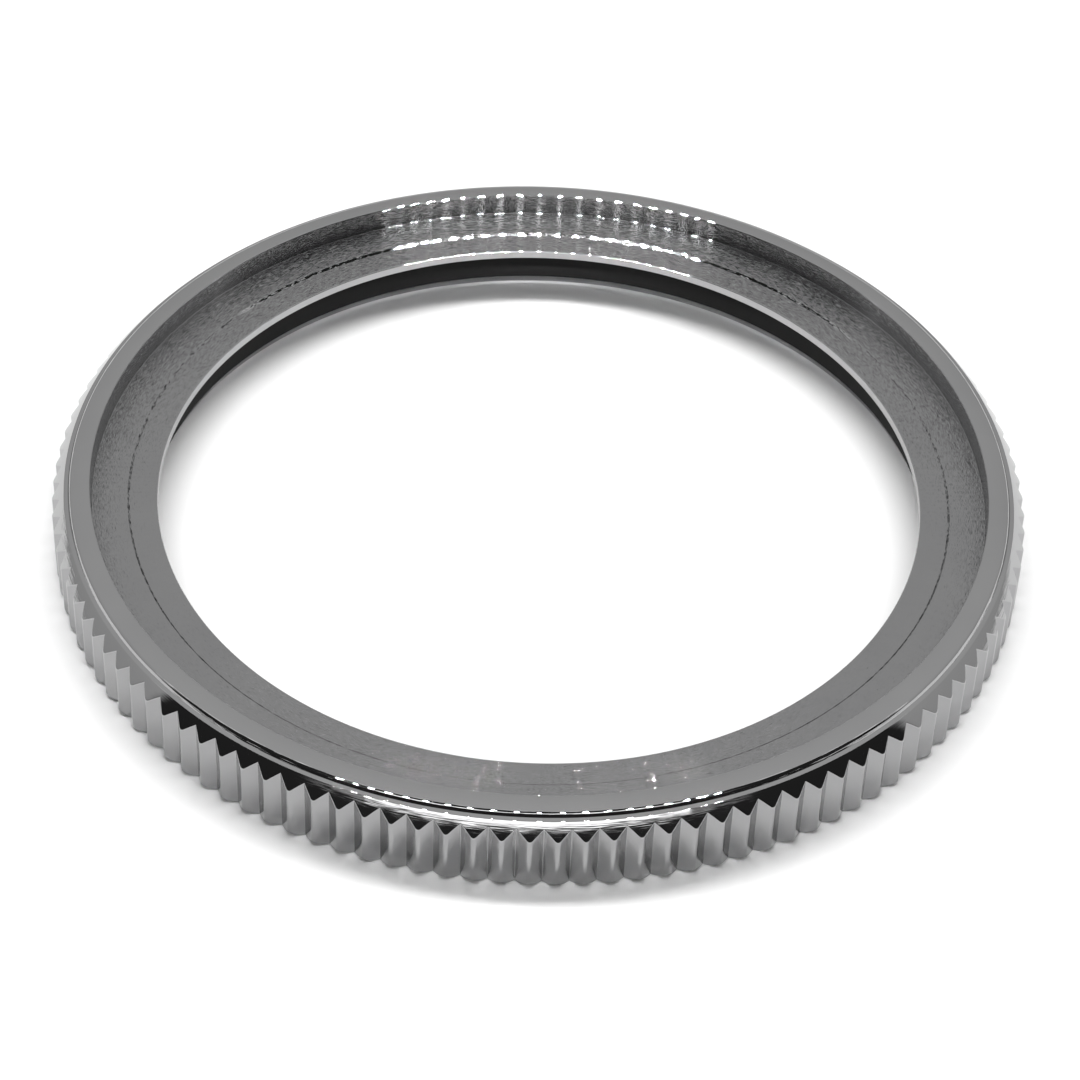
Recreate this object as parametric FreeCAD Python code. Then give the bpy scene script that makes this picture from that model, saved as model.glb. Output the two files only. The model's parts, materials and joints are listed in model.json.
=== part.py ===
import FreeCAD, Part
import math
import os

# A rotating timing bezel for a wrist watch, shown without its insert.
# The axis of rotation is Z, Z = 0 is the underside and X = 0, Y = 0 is the centre of the ring.
# All lengths are in millimetres and all angles in degrees.
# The radii stack outwards from the opening for the crystal, the heights downwards from the rim.

# Opening for the crystal, with the thin ledge round it
opening_radius = 16.30
ledge_width = 1.20
ledge_thickness = 0.37
ledge_edge_break = 0.05

# Recess for the insert, whose seat lies one step above the ledge
step_drop = 0.10
step_run = 0.08
seat_width = 1.60
recess_depth = 1.06

# Polished rim round the recess: a crown that ends in a rounded shoulder
rim_height = 3.48
rim_width = 0.94
rim_edge_break = 0.06
crown_fall = 0.09
shoulder_width = 0.18
shoulder_round = 0.20
shoulder_end_angle = 62.0

# Narrow land outside the rim, and the bevel that cuts the tops of the flutes
land_width = 0.18
land_slope = 12.0
ridge_drop = 0.31
bevel_width = 0.53
bevel_angle = 50.0

# Coin edge: upright flutes with rounded crests and sharp roots
flute_count = 120
flute_depth = 0.33
crest_round = 0.20

# Broken outer edge of the underside, which cuts the feet of the flutes
foot_break_width = 0.22
foot_break_height = 0.22

# Groove for the gasket, and the lip that holds it in
groove_depth = 1.60
lip_overhang = 0.85
lip_thickness = 0.36
lip_wall = 0.55

# Channel on the underside, with the ratchet of click teeth in its roof
skirt_wall = 0.67
channel_depth = 0.90
click_count = 120
click_tooth_height = 0.24
click_land = 0.08

# Retaining gasket, which stays with the case while the ring turns round it
gasket_stand_out = 0.22
gasket_corner_break = 0.10
turning_clearance = 0.05
axial_clearance = 0.04

# Room that a cutting body has beyond the faces that it cuts
overrun = 0.30

# Two points closer than this are one point
same_point = 0.000001

# Radii that follow from the widths
step_radius = opening_radius + ledge_width
insert_radius = step_radius + seat_width
land_radius = insert_radius + rim_width
ridge_radius = land_radius + land_width
tip_radius = ridge_radius + bevel_width
groove_radius = opening_radius + groove_depth
lip_radius = groove_radius - lip_overhang
channel_inner_radius = groove_radius + lip_wall
channel_outer_radius = tip_radius - flute_depth - skirt_wall

# Heights that follow from the depths
seat_height = rim_height - recess_depth
ledge_top = seat_height - step_drop
ledge_bottom = ledge_top - ledge_thickness
ridge_height = rim_height - ridge_drop

axis_origin = FreeCAD.Vector(0, 0, 0)
axis_direction = FreeCAD.Vector(0, 0, 1)


def at(radius, height):
    """A point of a profile in the XZ plane."""
    return FreeCAD.Vector(radius, 0, height)


def polar(radius, angle):
    """A point of an outline in the XY plane."""
    turn = math.radians(angle)
    return FreeCAD.Vector(radius * math.cos(turn), radius * math.sin(turn), 0)


def profile_arc(center, radius, start_angle, end_angle):
    """An arc in the XZ plane, with its angles measured from +X towards +Z."""
    points = []
    for angle in (start_angle, (start_angle + end_angle) / 2, end_angle):
        turn = math.radians(angle)
        points.append(center + at(radius * math.cos(turn), radius * math.sin(turn)))
    return Part.Arc(*points).toShape()


def closed_profile(pieces):
    """Join points and arcs, given in order, into one closed wire with straight runs between."""
    starts = []
    ends = []
    for piece in pieces:
        if isinstance(piece, FreeCAD.Vector):
            starts.append(piece)
            ends.append(piece)
        else:
            starts.append(piece.valueAt(piece.FirstParameter))
            ends.append(piece.valueAt(piece.LastParameter))
    edges = []
    for index, piece in enumerate(pieces):
        if not isinstance(piece, FreeCAD.Vector):
            edges.append(piece)
        next_start = starts[(index + 1) % len(pieces)]
        if ends[index].distanceToPoint(next_start) > same_point:
            edges.append(Part.LineSegment(ends[index], next_start).toShape())
    return Part.Wire(edges)


def turned(pieces):
    """A solid turned about the axis from a closed profile."""
    return Part.Face(closed_profile(pieces)).revolve(axis_origin, axis_direction, 360)


def rim_arcs():
    """The rim's crown and shoulder, two arcs that are tangent to each other."""
    crown_start = insert_radius + rim_edge_break
    crown_end = land_radius - shoulder_width
    crown_width = crown_end - crown_start
    crown_radius = (crown_width ** 2 + crown_fall ** 2) / (2 * crown_fall)
    crown_center = at(crown_start, rim_height - crown_radius)
    crown_end_angle = math.degrees(math.asin(crown_width / crown_radius))
    toward_end = at(crown_end, rim_height - crown_fall) - crown_center
    shoulder_center = crown_center + toward_end * ((crown_radius - shoulder_round) / crown_radius)
    return [
        profile_arc(crown_center, crown_radius, 90, 90 - crown_end_angle),
        profile_arc(shoulder_center, shoulder_round, 90 - crown_end_angle, 90 - shoulder_end_angle),
    ]


def ring_blank():
    """The ring as it leaves the lathe, before the flutes and the click teeth are cut."""
    blank_radius = tip_radius + overrun
    land_drop = land_width * math.tan(math.radians(land_slope))
    bevel_drop = (blank_radius - ridge_radius) * math.tan(math.radians(bevel_angle))
    foot_rise = (overrun + foot_break_width) * foot_break_height / foot_break_width
    return turned([
        at(insert_radius, seat_height),
        at(insert_radius, rim_height - rim_edge_break),
        *rim_arcs(),
        at(land_radius, ridge_height + land_drop),
        at(ridge_radius, ridge_height),
        at(blank_radius, ridge_height - bevel_drop),
        at(blank_radius, foot_rise),
        at(tip_radius - foot_break_width, 0),
        at(channel_outer_radius, 0),
        at(channel_outer_radius, channel_depth),
        at(channel_inner_radius, channel_depth),
        at(channel_inner_radius, 0),
        at(lip_radius, 0),
        at(lip_radius, lip_thickness),
        at(groove_radius, lip_thickness),
        at(groove_radius, ledge_bottom),
        at(opening_radius, ledge_bottom),
        at(opening_radius, ledge_top - ledge_edge_break),
        at(opening_radius + ledge_edge_break, ledge_top),
        at(step_radius, ledge_top),
        at(step_radius + step_run, seat_height),
    ])


def crest_end(crest_angle):
    """Where the flank on the side of growing angle leaves the rounded crest.

    The flank is straight, from the sharp root, and tangent to the circle of the crest.
    """
    crest = polar(tip_radius - crest_round, crest_angle)
    across = polar(tip_radius - flute_depth, crest_angle + 180 / flute_count) - crest
    lean = math.acos(crest_round / across.Length)
    heading = math.atan2(across.y, across.x) - lean
    return crest + FreeCAD.Vector(math.cos(heading), math.sin(heading), 0) * crest_round


def reflected(point, angle):
    """A point of the outline, reflected in the plane that holds the axis at an angle."""
    own_angle = math.degrees(math.atan2(point.y, point.x))
    return polar(math.hypot(point.x, point.y), 2 * angle - own_angle)


def fluted_column():
    """A tall column with the outline of the coin edge."""
    pitch = 360 / flute_count
    edges = []
    for index in range(flute_count):
        crest_angle = index * pitch
        root_angle = crest_angle + pitch / 2
        end = crest_end(crest_angle)
        start = reflected(end, crest_angle)
        next_start = reflected(end, root_angle)
        root = polar(tip_radius - flute_depth, root_angle)
        edges.append(Part.Arc(start, polar(tip_radius, crest_angle), end).toShape())
        edges.append(Part.LineSegment(end, root).toShape())
        edges.append(Part.LineSegment(root, next_start).toShape())
    column = Part.Face(Part.Wire(edges)).extrude(FreeCAD.Vector(0, 0, rim_height + 2 * overrun))
    column.translate(FreeCAD.Vector(0, 0, -overrun))
    return column


def click_notches():
    """The saw-toothed notches in the roof of the channel, as one cutting body.

    Each notch rises gently and ends in an upright wall, so a click spring lets the ring
    turn only anticlockwise as seen from above. Lands are left between the notches.
    """
    inner = channel_inner_radius
    outer = channel_outer_radius
    length = 2 * math.pi * inner / click_count - click_land
    low = channel_depth
    high = channel_depth + click_tooth_height
    start = inner - overrun
    corners = [
        FreeCAD.Vector(start, -length / 2, low),
        FreeCAD.Vector(start, length / 2, high),
        FreeCAD.Vector(start, length / 2, low),
    ]
    face = Part.Face(Part.makePolygon(corners + corners[:1]))
    notch = face.extrude(FreeCAD.Vector(outer - inner + 2 * overrun, 0, 0))
    notches = []
    for index in range(click_count):
        turned_notch = notch.copy()
        turned_notch.rotate(axis_origin, axis_direction, index * 360 / click_count)
        notches.append(turned_notch)
    channel = turned([at(inner, low), at(outer, low), at(outer, high), at(inner, high)])
    return Part.makeCompound(notches).common(channel)


def bezel_ring():
    """The steel ring: turned, fluted round the outside and notched underneath."""
    fluted = ring_blank().common(fluted_column())
    return fluted.cut(click_notches()).removeSplitter().Solids[0]


def retaining_gasket():
    """The black gasket that lies in the groove, held up by the lip."""
    corner = gasket_corner_break
    bottom = lip_thickness + axial_clearance
    top = ledge_bottom - axial_clearance
    inner = lip_radius - gasket_stand_out
    outer = groove_radius - turning_clearance
    return turned([
        at(inner + corner, bottom),
        at(inner, bottom + corner),
        at(inner, top - corner),
        at(inner + corner, top),
        at(outer - corner, top),
        at(outer, top - corner),
        at(outer, bottom + corner),
        at(outer - corner, bottom),
    ])


def write(name, shape):
    """Write one piece to its own file and print whether it is sound and how large it is."""
    shape.exportStep("parts/" + name + ".step")
    box = shape.optimalBoundingBox(False)
    print(name, "valid" if shape.isValid() else "not valid", "solids", len(shape.Solids),
          "faces", len(shape.Faces), "volume", round(shape.Volume, 3),
          "size", round(box.XLength, 3), round(box.YLength, 3), round(box.ZLength, 3))


os.makedirs("parts", exist_ok=True)
write("bezel_ring", bezel_ring())
write("retaining_gasket", retaining_gasket())
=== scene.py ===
import json
import math

import bpy
import numpy as np
from mathutils import Matrix, Vector

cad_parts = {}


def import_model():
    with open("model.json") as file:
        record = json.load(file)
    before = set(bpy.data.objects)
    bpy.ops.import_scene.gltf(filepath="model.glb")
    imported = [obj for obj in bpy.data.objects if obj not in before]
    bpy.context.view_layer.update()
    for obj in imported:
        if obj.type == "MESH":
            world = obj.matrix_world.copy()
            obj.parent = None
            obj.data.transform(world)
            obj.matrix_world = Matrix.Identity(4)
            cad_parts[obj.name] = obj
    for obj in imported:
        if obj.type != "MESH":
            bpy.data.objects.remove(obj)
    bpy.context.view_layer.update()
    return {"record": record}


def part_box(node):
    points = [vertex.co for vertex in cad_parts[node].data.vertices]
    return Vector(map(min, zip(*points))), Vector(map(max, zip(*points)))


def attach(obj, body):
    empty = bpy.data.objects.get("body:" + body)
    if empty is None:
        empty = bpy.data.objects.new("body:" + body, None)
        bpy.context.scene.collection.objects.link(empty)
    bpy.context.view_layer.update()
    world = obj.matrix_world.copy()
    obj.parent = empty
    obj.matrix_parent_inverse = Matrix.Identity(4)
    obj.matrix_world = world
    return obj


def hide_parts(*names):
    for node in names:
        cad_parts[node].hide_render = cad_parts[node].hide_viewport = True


# The visual model of a rotating watch bezel without its insert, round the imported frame.
# The ring's sizes below are in millimetres and its angles in degrees.
# The frame gives the outside radius, the rim's height and the radii of the bores.

MM = 0.001

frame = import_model()
mounts = {mount["name"]: mount for mount in frame["record"]["mounts"]}


def bore_radius(name):
    """Radius of a mount of the frame that is a bore."""
    return mounts[name]["dims"]["r_mm"]


ring_low, ring_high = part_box("bezel_ring")
gasket_low, gasket_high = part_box("retaining_gasket")

tip_radius = ring_high.x / MM
rim_height = ring_high.z / MM
insert_radius = bore_radius("insert_seat")
opening_radius = bore_radius("crystal_opening")
lip_radius = bore_radius("case_lip")
gasket_bore_radius = bore_radius("case_seat")

# Ledge and seat for the insert
ledge_width = 1.20
ledge_thickness = 0.37
step_drop = 0.10
step_run = 0.08
recess_depth = 1.06

# Rim, land and bevel, which is a little steeper at the tips of the flutes than at the ridge
rim_edge_break = 0.06
crown_fall = 0.09
shoulder_width = 0.18
shoulder_round = 0.20
shoulder_end_angle = 62.0
land_width = 0.18
land_slope = 12.0
ridge_drop = 0.31
bevel_width = 0.53
bevel_drop = 0.632
bevel_bulge = 4.0

# Coin edge, whose roots are sharp but for a narrow blend, and the broken edge of its foot
flute_count = 120
flute_depth = 0.33
crest_round = 0.20
root_blend = 0.02
foot_break_width = 0.22
foot_break_height = 0.22

# Underside: the groove with its gasket, and the channel with a click tooth for each flute
groove_depth = 1.60
lip_thickness = 0.36
lip_wall = 0.55
skirt_wall = 0.67
gasket_corner_round = 0.10
channel_depth = 0.90
click_tooth_height = 0.24
click_land = 0.08

# Edges of the real part are broken by this much
edge_break = 0.025
opening_edge_break = 0.05

# How finely the rounds are drawn
rim_break_steps = 6
crown_steps = 8
shoulder_steps = 7
crest_steps = 5
foot_steps = 8
gasket_corner_steps = 4
bevel_shares = (0.0, 0.25, 0.5, 0.75, 1.0)

# Two angles round the ring nearer than this are one angle
same_angle = 0.0001

land_radius = tip_radius - bevel_width - land_width
ridge_radius = tip_radius - bevel_width
seat_height = rim_height - recess_depth
ledge_top = seat_height - step_drop
ledge_bottom = ledge_top - ledge_thickness
ridge_height = rim_height - ridge_drop
step_radius = opening_radius + ledge_width
groove_radius = opening_radius + groove_depth
channel_inner_radius = groove_radius + lip_wall
channel_outer_radius = tip_radius - flute_depth - skirt_wall
notch_width = 2 * math.pi * channel_inner_radius / flute_count - click_land
notch_half_angle = math.degrees(notch_width / (channel_inner_radius + channel_outer_radius))

# Finishes of the ring, in the order of its materials
POLISHED, TURNED, FLUTED, MACHINED = range(4)

# How much more blue than red the dark tone of each steel finish has
steel_tinge = 0.005

# The camera, in metres and degrees: its place round the ring, then how it is held, and its
# focal length in millimetres
camera_distance = 0.142126
camera_azimuth = -90.515
camera_elevation = 42.571
camera_heading = -0.5775
camera_looks_down = 42.8304
camera_roll = 2.4018
camera_lens = 109.12

# The floor, in metres
floor_half_size = 2.0
floor_gap = 0.00002
floor_tone = 0.8

# The light tent: how bright its walls and top are, and its panel and strip
wall_level = 0.50
top_level = 0.75
mouth_darkness = 0.95
front_panel_level = 2.4
top_strip_level = 1.2

# The row of spots, in metres, degrees and watts, and the height of what they point at
spot_count = 20
spot_width = 0.004
spot_depth = 0.035
spot_power = 0.0060
spot_beam_angle = 10.8
spot_row_length = 0.50
spot_row_y = -0.22
spot_row_height = 0.40
spot_aim_y = 0.022
spot_aim_height = 0.003

# The soft lamp, in metres and watts
soft_lamp_power = 3.4
soft_lamp_width = 0.60
soft_lamp_depth = 0.08
soft_lamp_y = 0.17
soft_lamp_height = 0.50


def heading(angle):
    """A unit vector at an angle, from outward towards up, or in plan from +X towards +Y."""
    turn = math.radians(angle)
    return math.cos(turn), math.sin(turn)


class Profile:
    """Points of a turned profile, each with the normals of the surface before and after it."""

    def __init__(self):
        self.rows = []

    def point(self, radius, height, before, after=None, finish=POLISHED):
        """Add a point. finish is that of the surface from this point to the next."""
        self.rows.append((radius, height, before, before if after is None else after, finish))

    def arc(self, radius, height, size, start, end, steps, finish=POLISHED):
        """Add an outward-bulging arc about (radius, height), with normals along its rays."""
        for step in range(steps + 1):
            angle = start + (end - start) * step / steps
            x, z = heading(angle)
            self.point(radius + size * x, height + size * z, angle, finish=finish)


def upper_profile():
    """From the bottom of the opening, over ledge, recess and rim, to the ridge."""
    p = Profile()
    ledge_break = opening_edge_break
    p.point(opening_radius, ledge_bottom, -90, 180)
    p.point(opening_radius, ledge_top - ledge_break, 180)
    p.point(opening_radius + ledge_break, ledge_top, 90, finish=TURNED)
    p.point(step_radius - edge_break, ledge_top, 90, finish=TURNED)
    step_normal = math.degrees(math.atan2(step_run, -step_drop))
    p.point(step_radius, ledge_top, step_normal, finish=TURNED)
    p.point(step_radius + step_run - edge_break / 2, seat_height - edge_break / 2,
            step_normal, finish=TURNED)
    p.point(step_radius + step_run + edge_break, seat_height, 90, finish=TURNED)
    p.point(insert_radius - edge_break, seat_height, 90, finish=TURNED)
    p.point(insert_radius, seat_height + edge_break, 180, finish=TURNED)
    p.point(insert_radius, rim_height - rim_edge_break, 180)

    crown_start = insert_radius + rim_edge_break
    crown_end = land_radius - shoulder_width
    crown_width = crown_end - crown_start
    crown_radius = (crown_width ** 2 + crown_fall ** 2) / (2 * crown_fall)
    crown_end_angle = 90 - math.degrees(math.asin(crown_width / crown_radius))
    x, z = heading(crown_end_angle)
    shoulder_x = crown_start + (crown_radius - shoulder_round) * x
    shoulder_z = rim_height - crown_radius + (crown_radius - shoulder_round) * z
    shoulder_end = 90 - shoulder_end_angle
    p.arc(crown_start, rim_height - rim_edge_break, rim_edge_break, 180, 90, rim_break_steps)
    p.arc(crown_start, rim_height - crown_radius, crown_radius, 90, crown_end_angle,
          crown_steps)
    p.arc(shoulder_x, shoulder_z, shoulder_round, crown_end_angle, shoulder_end,
          shoulder_steps)

    land_fall = math.tan(math.radians(land_slope))
    land_normal = 90 - land_slope
    p.point(land_radius, ridge_height + land_width * land_fall, shoulder_end, land_normal)
    p.point(ridge_radius - edge_break, ridge_height + edge_break * land_fall, land_normal)
    return p.rows


def lower_profile():
    """From the underside inside the channel, up through lip and groove, to the opening."""
    p = Profile()
    p.point(lip_radius + edge_break, 0, -90, finish=MACHINED)
    p.point(lip_radius, edge_break, 180)
    p.point(lip_radius, lip_thickness - edge_break, 180)
    p.point(lip_radius + edge_break, lip_thickness, 90, finish=MACHINED)
    p.point(groove_radius, lip_thickness, 90, 180, finish=MACHINED)
    p.point(groove_radius, ledge_bottom, 180, -90, finish=MACHINED)
    p.point(opening_radius + edge_break, ledge_bottom, -90)
    return p.rows


def outline_columns():
    """One tooth of the coin edge, as (angle, radius, angle of the normal), in growing angle."""
    half_pitch = 180 / flute_count
    crest_x = tip_radius - crest_round
    root = (tip_radius - flute_depth) * Vector(heading(half_pitch))
    across = root - Vector((crest_x, 0))
    lean = math.degrees(math.acos(crest_round / across.length))
    flank = math.degrees(math.atan2(across.y, across.x)) - lean
    flank_normal = Vector(heading(flank))

    half = []
    for step in range(1, crest_steps + 1):
        normal = flank * step / crest_steps
        x, y = heading(normal)
        half.append((crest_x + crest_round * x, crest_round * y, normal))
    top = Vector((half[-1][0], half[-1][1]))
    middle = (top + root) / 2
    half.append((middle.x, middle.y, flank))
    notch = Vector(heading(notch_half_angle))
    notch *= top.dot(flank_normal) / notch.dot(flank_normal)
    half.append((notch.x, notch.y, flank))
    near_root = root + (top - root).normalized() * root_blend
    half.append((near_root.x, near_root.y, flank))

    whole = [(tip_radius, 0.0, 0.0)] + half
    points = [(math.degrees(math.atan2(y, x)), math.hypot(x, y), n) for x, y, n in whole]
    mirrored = [(-a, r, -n) for a, r, n in reversed(points[1:])]
    bottom = [(-half_pitch, tip_radius - flute_depth, -half_pitch)]
    return bottom + mirrored + points


def columns():
    """All columns round the ring: angle, radius of the coin edge, and its normal."""
    pitch = 360 / flute_count
    tooth = outline_columns()
    found = [(a + pitch * i, r, n + pitch * i) for i in range(flute_count) for a, r, n in tooth]
    return np.array(found)


class Skin:
    """A mesh made of faces that carry their own normals."""

    def __init__(self, name, materials):
        self.name = name
        self.materials = materials
        self.points = []
        self.faces = []
        self.normals = []
        self.finishes = []

    def row(self, angles, radius, height):
        """Add one vertex for each angle and return their numbers."""
        turn = np.radians(angles)
        radius = np.broadcast_to(radius, turn.shape)
        height = np.broadcast_to(height, turn.shape)
        first = len(self.points)
        self.points.extend(zip(radius * np.cos(turn), radius * np.sin(turn), height))
        return np.arange(first, first + len(turn))

    def face(self, corners, normals, finish):
        """Add a face with a normal for each corner."""
        self.faces.append([int(c) for c in corners])
        self.normals.extend(normals)
        self.finishes.append(finish)

    def strip(self, low, high, low_normals, high_normals, finish):
        """Join two rows of vertices that run round the axis."""
        count = len(low)
        for k in range(count):
            n = (k + 1) % count
            self.face((low[k], high[k], high[n], low[n]),
                      (low_normals[k], high_normals[k], high_normals[n], low_normals[n]), finish)

    def build(self):
        """Make the object in metres and return it."""
        mesh = bpy.data.meshes.new(self.name)
        mesh.from_pydata([tuple(c * MM for c in p) for p in self.points], [], self.faces)
        mesh.polygons.foreach_set("material_index", self.finishes)
        for material in self.materials:
            mesh.materials.append(material)
        mesh.shade_smooth()
        mesh.normals_split_custom_set([tuple(map(float, n)) for n in self.normals])
        made = bpy.data.objects.new(self.name, mesh)
        bpy.context.scene.collection.objects.link(made)
        return made


def ring_normals(angles, tilt):
    """Normals of a turned surface, with one tilt or many, from outward towards up."""
    turn = np.radians(angles)
    lean = np.broadcast_to(np.radians(tilt), turn.shape)
    outward = np.cos(lean)
    return np.stack([outward * np.cos(turn), outward * np.sin(turn), np.sin(lean)], 1)


def turned_rows(skin, angles, rows, closed=False):
    """Lay a turned profile round the axis and return its first and last rows.

    Each row comes with the tilts of the normals before and after it, and with its finish.
    """
    laid = [(skin.row(angles, radius, height), before, after, finish)
            for radius, height, before, after, finish in rows]
    pairs = list(zip(laid, laid[1:] + laid[:1]))
    for low, high in pairs if closed else pairs[:-1]:
        skin.strip(low[0], high[0], ring_normals(angles, low[2]), ring_normals(angles, high[1]),
                   low[3])
    return laid[0], laid[-1]


def bevel_surface(angles, radius):
    """Height and normals of the slightly convex bevel at a radius."""
    share = (radius - ridge_radius) / bevel_width
    mean = math.atan2(bevel_drop, bevel_width)
    bulge = math.radians(bevel_bulge)
    rise = bevel_width * bulge / math.cos(mean) ** 2 * share * (1 - share)
    height = ridge_height - bevel_drop * share + rise
    tilt = 90 - math.degrees(mean) - bevel_bulge * (2 * share - 1)
    return height, ring_normals(angles, tilt)


def foot_height(radius, arc_start, arc_size):
    """Height of the rounded foot, an arc that starts level with the underside."""
    past = np.clip(radius - arc_start, 0, None)
    return arc_size - np.sqrt(arc_size ** 2 - past ** 2)


def coin_edge(skin, start, table):
    """The bevel, the flutes and the rounded foot, from the last row of the upper profile."""
    angles, radii, wall_angles = table.T
    wall = ring_normals(wall_angles, 0)
    row, _, tilt, finish = start
    normals = ring_normals(angles, tilt)
    edge_radii = radii - edge_break
    for share in bevel_shares:
        radius = ridge_radius + (edge_radii - ridge_radius) * share
        height, next_normals = bevel_surface(angles, radius)
        next_row = skin.row(angles, radius, height)
        skin.strip(row, next_row, normals, next_normals, finish)
        row = next_row
        normals = next_normals
        finish = POLISHED

    height, _ = bevel_surface(angles, radii)
    top = skin.row(angles, radii, height - edge_break)
    skin.strip(row, top, normals, wall, POLISHED)

    # The foot is the arc of a circle that touches the underside
    arc_start = tip_radius - foot_break_width
    arc_size = (foot_break_width ** 2 + foot_break_height ** 2) / (2 * foot_break_height)
    inner = tip_radius - flute_depth - edge_break * 2
    foot = skin.row(angles, radii, foot_height(radii, arc_start, arc_size) + edge_break)
    skin.strip(top, foot, wall, wall, FLUTED)
    normals = wall
    for step in range(1, foot_steps + 1):
        share = 1 - math.cos(math.pi / 2 * step / foot_steps)
        radius = radii + (inner - radii) * share
        next_foot = skin.row(angles, radius, foot_height(radius, arc_start, arc_size))
        lean = np.arcsin(np.clip(radius - arc_start, 0, None) / arc_size)
        next_normals = ring_normals(angles, np.degrees(lean) - 90)
        skin.strip(foot, next_foot, normals, next_normals, POLISHED)
        foot = next_foot
        normals = next_normals
    rim = skin.row(angles, channel_outer_radius + edge_break, 0.0)
    skin.strip(foot, rim, normals, ring_normals(angles, -90), MACHINED)
    return rim


def click_channel(skin, start, table):
    """The channel on the underside, with a gentle slope and an upright wall to each tooth."""
    angles = table[:, 0]
    count = len(angles)
    pitch = 360 / flute_count
    within = (angles + pitch / 2) % pitch - pitch / 2
    upright = np.abs(within - notch_half_angle) < same_angle
    rise = np.clip((within + notch_half_angle) / (2 * notch_half_angle), 0, 1)
    rise[within > notch_half_angle + same_angle] = 0
    roof = channel_depth + click_tooth_height * rise

    inward = ring_normals(angles, 180)
    outward = ring_normals(angles, 0)
    down = ring_normals(angles, -90)
    low_out = skin.row(angles, channel_outer_radius, edge_break)
    skin.strip(start, low_out, down, inward, MACHINED)

    # At an upright wall the roof has two rows: one before the wall and one after it
    high_out = skin.row(angles, channel_outer_radius, roof)
    high_in = skin.row(angles, channel_inner_radius, roof)
    after_out = high_out.copy()
    after_out[upright] = skin.row(angles[upright], channel_outer_radius, channel_depth)
    after_in = high_in.copy()
    after_in[upright] = skin.row(angles[upright], channel_inner_radius, channel_depth)
    low_in = skin.row(angles, channel_inner_radius, edge_break)

    middle = (channel_outer_radius + channel_inner_radius) / 2
    slope = math.atan2(click_tooth_height, 2 * math.radians(notch_half_angle) * middle)
    for k in range(count):
        n = (k + 1) % count
        extra_out = [after_out[n]] if upright[n] else []
        extra_in = [after_in[n]] if upright[n] else []
        corners = [low_out[k], after_out[k], high_out[n], *extra_out, low_out[n]]
        skin.face(corners, [inward[k]] * 2 + [inward[n]] * (len(corners) - 2), MACHINED)
        next_angle = angles[n] if n else angles[n] + 360
        turn = math.radians((angles[k] + next_angle) / 2)
        tilt = slope if rise[n] > 0 else 0.0
        around = Vector((-math.sin(turn), math.cos(turn), 0))
        roof_normal = around * math.sin(tilt) - Vector((0, 0, math.cos(tilt)))
        skin.face([after_out[k], after_in[k], high_in[n], high_out[n]], [roof_normal] * 4,
                  MACHINED)
        corners = [after_in[k], low_in[k], low_in[n], *extra_in, high_in[n]]
        skin.face(corners, [outward[k]] * 2 + [outward[n]] * (len(corners) - 2), MACHINED)
    for k in np.flatnonzero(upright):
        turn = math.radians(angles[k])
        back = Vector((math.sin(turn), -math.cos(turn), 0))
        skin.face([after_out[k], high_out[k], high_in[k], after_in[k]], [back] * 4, MACHINED)
    rim = skin.row(angles, channel_inner_radius - edge_break, 0.0)
    skin.strip(low_in, rim, outward, down, MACHINED)
    return rim


def bezel_ring(materials):
    """The steel ring, drawn from the opening over the rim and the flutes to the underside."""
    table = columns()
    angles = table[:, 0]
    skin = Skin("steel_bezel_ring", materials)
    first, last = turned_rows(skin, angles, upper_profile())
    rim = coin_edge(skin, last, table)
    rim = click_channel(skin, rim, table)
    lip_first, lip_last = turned_rows(skin, angles, lower_profile())
    down = ring_normals(angles, -90)
    skin.strip(rim, lip_first[0], down, down, MACHINED)
    skin.strip(lip_last[0], first[0], ring_normals(angles, lip_last[2]),
               ring_normals(angles, first[1]), POLISHED)
    return skin.build()


def retaining_gasket(material):
    """The black ring in the groove, with rounded corners."""
    corner = gasket_corner_round
    inner = gasket_bore_radius + corner
    outer = gasket_high.x / MM - corner
    low = gasket_low.z / MM + corner
    high = gasket_high.z / MM - corner
    p = Profile()
    for radius, height, start in ((inner, low, 270), (inner, high, 180), (outer, high, 90),
                                  (outer, low, 0)):
        p.arc(radius, height, corner, start, start - 90, gasket_corner_steps)
    skin = Skin("black_retaining_gasket", [material])
    turned_rows(skin, np.arange(0, 360, 1.0), p.rows, closed=True)
    return skin.build()


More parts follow.
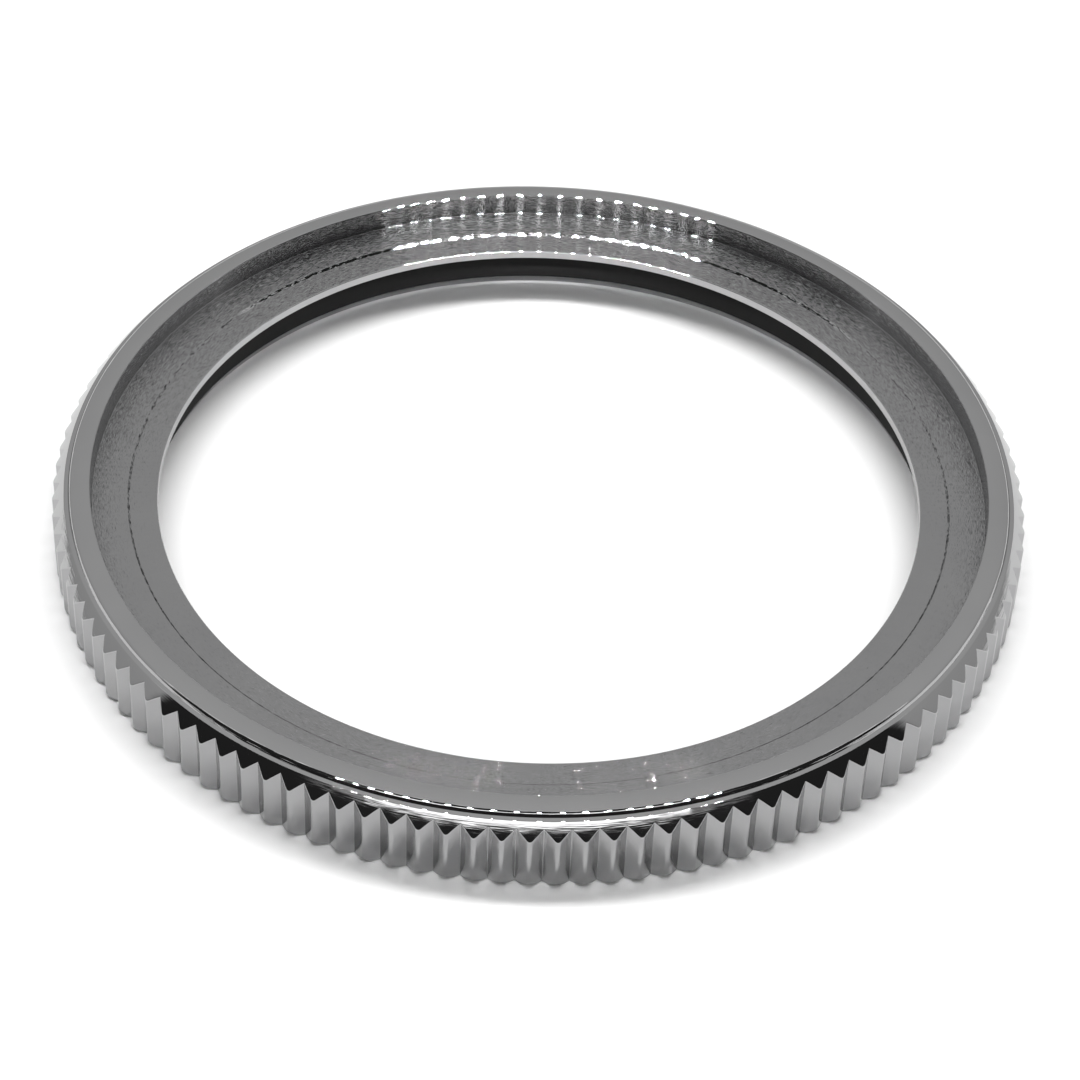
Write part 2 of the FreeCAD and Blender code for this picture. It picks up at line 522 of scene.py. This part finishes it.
class Nodes:
    """Builds the nodes of a material or world, with shorthand for what several of them need."""

    def __init__(self, owner, shader):
        owner.use_nodes = True
        self.owner = owner
        self.tree = owner.node_tree
        self.shader = self.tree.nodes[shader]

    def add(self, kind, **settings):
        node = self.tree.nodes.new(kind)
        for key, value in settings.items():
            setattr(node, key, value)
        return node

    def feed(self, socket, value):
        """Link an output to a socket, or set the socket to a value."""
        if isinstance(value, bpy.types.NodeSocket):
            self.tree.links.new(value, socket)
        else:
            socket.default_value = value

    def math(self, operation, *values):
        node = self.add("ShaderNodeMath", operation=operation)
        for socket, value in zip(node.inputs, values):
            self.feed(socket, value)
        return node.outputs[0]

    def spread(self, value, low, high):
        """Map a value that runs from 0 to 1 onto low to high, and hold it there."""
        node = self.add("ShaderNodeMapRange")
        self.feed(node.inputs["Value"], value)
        self.feed(node.inputs["To Min"], low)
        self.feed(node.inputs["To Max"], high)
        return node.outputs["Result"]

    def noise(self, vector, scale, detail):
        """A smooth random value from 0 to 1."""
        node = self.add("ShaderNodeTexNoise", noise_dimensions="3D")
        self.feed(node.inputs["Vector"], vector)
        self.feed(node.inputs["Scale"], scale)
        self.feed(node.inputs["Detail"], detail)
        return node.outputs["Fac"]

    def place(self):
        return self.add("ShaderNodeTexCoord").outputs["Object"]

    def lathe_place(self, length, width):
        """Coordinates of the marks of turning: long round the axis, narrow across it.

        One unit is length round the ring and width across the profile, in millimetres.
        """
        parts = self.add("ShaderNodeSeparateXYZ")
        self.feed(parts.inputs[0], self.place())
        x, y, z = parts.outputs
        squares = [self.math("MULTIPLY", side, side) for side in (x, y)]
        radius = self.math("SQRT", self.math("ADD", *squares))
        around = step_radius / length
        across = 1 / (width * MM)
        vector = self.add("ShaderNodeCombineXYZ")
        for socket, side in zip(vector.inputs, (x, y)):
            share = self.math("DIVIDE", side, radius)
            self.feed(socket, self.math("MULTIPLY", share, around))
        down_and_out = self.math("SUBTRACT", radius, z)
        self.feed(vector.inputs[2], self.math("MULTIPLY", down_and_out, across))
        return vector.outputs[0]

    def bump(self, height, strength, distance):
        """Raise the surface by a height from 0 to 1 times a distance in millimetres."""
        node = self.add("ShaderNodeBump")
        self.feed(node.inputs["Strength"], strength)
        self.feed(node.inputs["Distance"], distance * MM)
        self.feed(node.inputs["Height"], height)
        self.feed(self.shader.inputs["Normal"], node.outputs["Normal"])

    def vector(self, operation, *values):
        node = self.add("ShaderNodeVectorMath", operation=operation)
        for socket, value in zip(node.inputs, values):
            self.feed(socket, value)
        return node.outputs["Vector"]

    def grooves(self, height, slope):
        """Tilt the surface only across the grooves of turning, by a height from 0 to 1.

        The grooves run round the axis, so a lamp shows as a streak across them.
        """
        around = self.add("ShaderNodeTangent", direction_type="RADIAL", axis="Z")
        self.feed(self.shader.inputs["Tangent"], around.outputs["Tangent"])
        self.shader.inputs["Anisotropic"].default_value = 1.0
        self.shader.inputs["Anisotropic Rotation"].default_value = 0.25
        normal = self.add("ShaderNodeNewGeometry").outputs["Normal"]
        across = self.vector("CROSS_PRODUCT", normal, around.outputs["Tangent"])
        scale = self.add("ShaderNodeVectorMath", operation="SCALE")
        self.feed(scale.inputs["Vector"], across)
        self.feed(scale.inputs["Scale"], self.spread(height, -slope, slope))
        tilted = self.vector("ADD", normal, scale.outputs["Vector"])
        self.feed(self.shader.inputs["Normal"], self.vector("NORMALIZE", tilted))

    def tone(self, share, dark, light, tinge=0.0):
        """A tone between two greys, of which the dark one may be a little blue."""
        node = self.add("ShaderNodeMix", data_type="RGBA")
        self.feed(node.inputs["Factor"], share)
        self.feed(node.inputs["A"], (dark, dark, dark + tinge, 1))
        self.feed(node.inputs["B"], (light, light, light, 1))
        self.feed(self.shader.inputs["Base Color"], node.outputs["Result"])

    def roughness(self, share, low, high):
        self.feed(self.shader.inputs["Roughness"], self.spread(share, low, high))


def principled(name):
    return Nodes(bpy.data.materials.new(name), "Principled BSDF")


def steel(name, smudge_scale, tones, roughnesses):
    """Bare steel whose smudges change its tone and its roughness a little."""
    n = principled(name)
    n.shader.inputs["Metallic"].default_value = 1
    smudge = n.noise(n.place(), smudge_scale, 3.0)
    n.tone(smudge, *tones, steel_tinge)
    n.roughness(smudge, *roughnesses)
    return n


def steel_polished():
    """The rim, the bevel and the walls of the opening."""
    n = steel("steel_polished", 260.0, (0.38, 0.43), (0.025, 0.04))
    n.grooves(n.noise(n.lathe_place(0.8, 0.02), 1.0, 1.0), 0.10)
    return n.owner


def steel_turned():
    """The recess for the insert, left as the tool cut it."""
    n = steel("steel_turned", 300.0, (0.32, 0.37), (0.07, 0.09))
    n.grooves(n.noise(n.lathe_place(0.25, 0.008), 1.0, 1.0), 1.25)
    return n.owner


def steel_fluted():
    """The flutes of the coin edge, with a fine grain."""
    n = steel("steel_fluted", 500.0, (0.31, 0.36), (0.08, 0.16))
    n.bump(n.noise(n.place(), 9000.0, 2.0), 0.10, 0.002)
    return n.owner


def steel_machined():
    """The underside, which is duller."""
    n = steel("steel_machined", 300.0, (0.36, 0.42), (0.22, 0.32))
    n.grooves(n.noise(n.lathe_place(3.0, 0.04), 1.0, 2.0), 0.8)
    return n.owner


def gasket_rubber():
    """Matt black rubber with a fine grain."""
    n = principled("gasket_rubber")
    grain = n.noise(n.place(), 6000.0, 3.0)
    n.tone(grain, 0.004, 0.008)
    n.roughness(grain, 0.5, 0.65)
    n.shader.inputs["Specular IOR Level"].default_value = 0.15
    n.bump(grain, 0.2, 0.004)
    return n.owner


def floor():
    """A large pale floor just under the ring."""
    mesh = bpy.data.meshes.new("floor")
    size = floor_half_size
    corners = [(-size, -size, 0), (size, -size, 0), (size, size, 0), (-size, size, 0)]
    mesh.from_pydata(corners, [], [(0, 1, 2, 3)])
    made = bpy.data.objects.new("floor", mesh)
    bpy.context.scene.collection.objects.link(made)
    material = bpy.data.materials.new("floor")
    material.use_nodes = True
    shader = material.node_tree.nodes["Principled BSDF"]
    shader.inputs["Base Color"].default_value = (floor_tone, floor_tone, floor_tone, 1)
    shader.inputs["Roughness"].default_value = 1
    shader.inputs["Specular IOR Level"].default_value = 0
    mesh.materials.append(material)
    made.location.z = -floor_gap


def camera():
    """The photographer's camera, held with a slight roll."""
    data = bpy.data.cameras.new("camera")
    data.sensor_width = 36
    data.lens = camera_lens
    data.clip_start = 0.005
    made = bpy.data.objects.new("camera", data)
    bpy.context.scene.collection.objects.link(made)
    turns = ((camera_heading, "Z"), (90 - camera_looks_down, "X"), (camera_roll, "Z"))
    held = Matrix.Identity(4)
    for angle, axis in turns:
        held @= Matrix.Rotation(math.radians(angle), 4, axis)
    east, north = heading(camera_azimuth)
    level, up = heading(camera_elevation)
    held.translation = Vector((level * east, level * north, up)) * camera_distance
    made.matrix_world = held
    bpy.context.scene.camera = made


def window(n, value, low, high, soft):
    """1 where a value lies between low and high, falling to 0 over soft on both sides."""
    up = n.add("ShaderNodeMapRange", interpolation_type="SMOOTHSTEP")
    down = n.add("ShaderNodeMapRange", interpolation_type="SMOOTHSTEP")
    for node, start, end in ((up, low - soft, low), (down, high + soft, high)):
        n.feed(node.inputs["Value"], value)
        n.feed(node.inputs["From Min"], start)
        n.feed(node.inputs["From Max"], end)
    return n.math("MULTIPLY", up.outputs["Result"], down.outputs["Result"])


def world():
    """The inside of a light tent: pale walls and top, and a dark mouth towards the camera.

    Azimuth is measured from +X towards +Y, so the camera looks from azimuth -90. A place on the
    ceiling is given by how far it lies to +X and +Y for each unit of height.
    """
    made = bpy.data.worlds.new("studio")
    bpy.context.scene.world = made
    n = Nodes(made, "Background")
    n.shader.inputs["Color"].default_value = (1, 1, 1, 1)
    parts = n.add("ShaderNodeSeparateXYZ")
    n.feed(parts.inputs[0], n.add("ShaderNodeTexCoord").outputs["Generated"])
    x, y, z = parts.outputs
    azimuth = n.math("DEGREES", n.math("ARCTAN2", y, x))
    elevation = n.math("DEGREES", n.math("ARCSINE", z))
    height = n.math("MAXIMUM", z, 0.01)
    across = n.math("DIVIDE", x, height)
    back = n.math("DIVIDE", y, height)

    def panel(azimuths, elevations, soft):
        return n.math("MULTIPLY", window(n, azimuth, *azimuths, soft),
                      window(n, elevation, *elevations, soft))

    def ceiling(acrosses, backs, soft):
        return n.math("MULTIPLY", window(n, across, *acrosses, soft),
                      window(n, back, *backs, soft))

    mouth = panel((-172, -8), (-90, 32), 3.0)
    mouth_roof = ceiling((-1.6, 1.6), (-0.95, 0.0), 0.06)
    front_panel = panel((-126, -54), (36, 46), 1.0)
    top_strip = ceiling((-1.6, 1.6), (0.02, 0.10), 0.02)

    walls = n.spread(n.math("DIVIDE", elevation, 90.0), wall_level, top_level)
    darkness = n.math("MULTIPLY", n.math("MAXIMUM", mouth, mouth_roof), mouth_darkness)
    level = n.math("MULTIPLY", walls, n.math("SUBTRACT", 1.0, darkness))
    level = n.math("ADD", level, n.math("MULTIPLY", front_panel, front_panel_level))
    level = n.math("ADD", level, n.math("MULTIPLY", top_strip, top_strip_level))
    n.feed(n.shader.inputs["Strength"], level)


def lamp(name, place, aim, power, width, depth):
    """A flat lamp at a place, which looks at its aim."""
    data = bpy.data.lights.new(name, "AREA")
    data.shape = "RECTANGLE"
    data.size = width
    data.size_y = depth
    data.energy = power
    made = bpy.data.objects.new(name, data)
    bpy.context.scene.collection.objects.link(made)
    made.location = place
    made.rotation_euler = (Vector(place) - Vector(aim)).to_track_quat("Z", "Y").to_euler()
    return made


def spot_row():
    """A row of small spots overhead, a little towards the camera, that only glint.

    They point at the far side of the ring, and the near side lies in the edge of their beams.
    """
    for index in range(spot_count):
        x = (index / (spot_count - 1) - 0.5) * spot_row_length
        made = lamp("glint", (x, spot_row_y, spot_row_height), (0.0, spot_aim_y, spot_aim_height),
                    spot_power, spot_width, spot_depth)
        made.data.spread = math.radians(spot_beam_angle)
        made.visible_diffuse = False


def soft_lamp():
    """The wide lamp overhead and behind, which lights the floor and casts the shadows."""
    made = lamp("soft_lamp", (0.0, soft_lamp_y, soft_lamp_height), (0.0, 0.0, 0.0),
                soft_lamp_power, soft_lamp_width, soft_lamp_depth)
    made.visible_glossy = False


steels = [steel_polished(), steel_turned(), steel_fluted(), steel_machined()]
ring = bezel_ring(steels)
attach(ring, "bezel")
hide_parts("bezel_ring")

gasket = retaining_gasket(gasket_rubber())
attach(gasket, "gasket")
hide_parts("retaining_gasket")

floor()
camera()
world()
spot_row()
soft_lamp()
bpy.context.scene.view_settings.view_transform = "Standard"
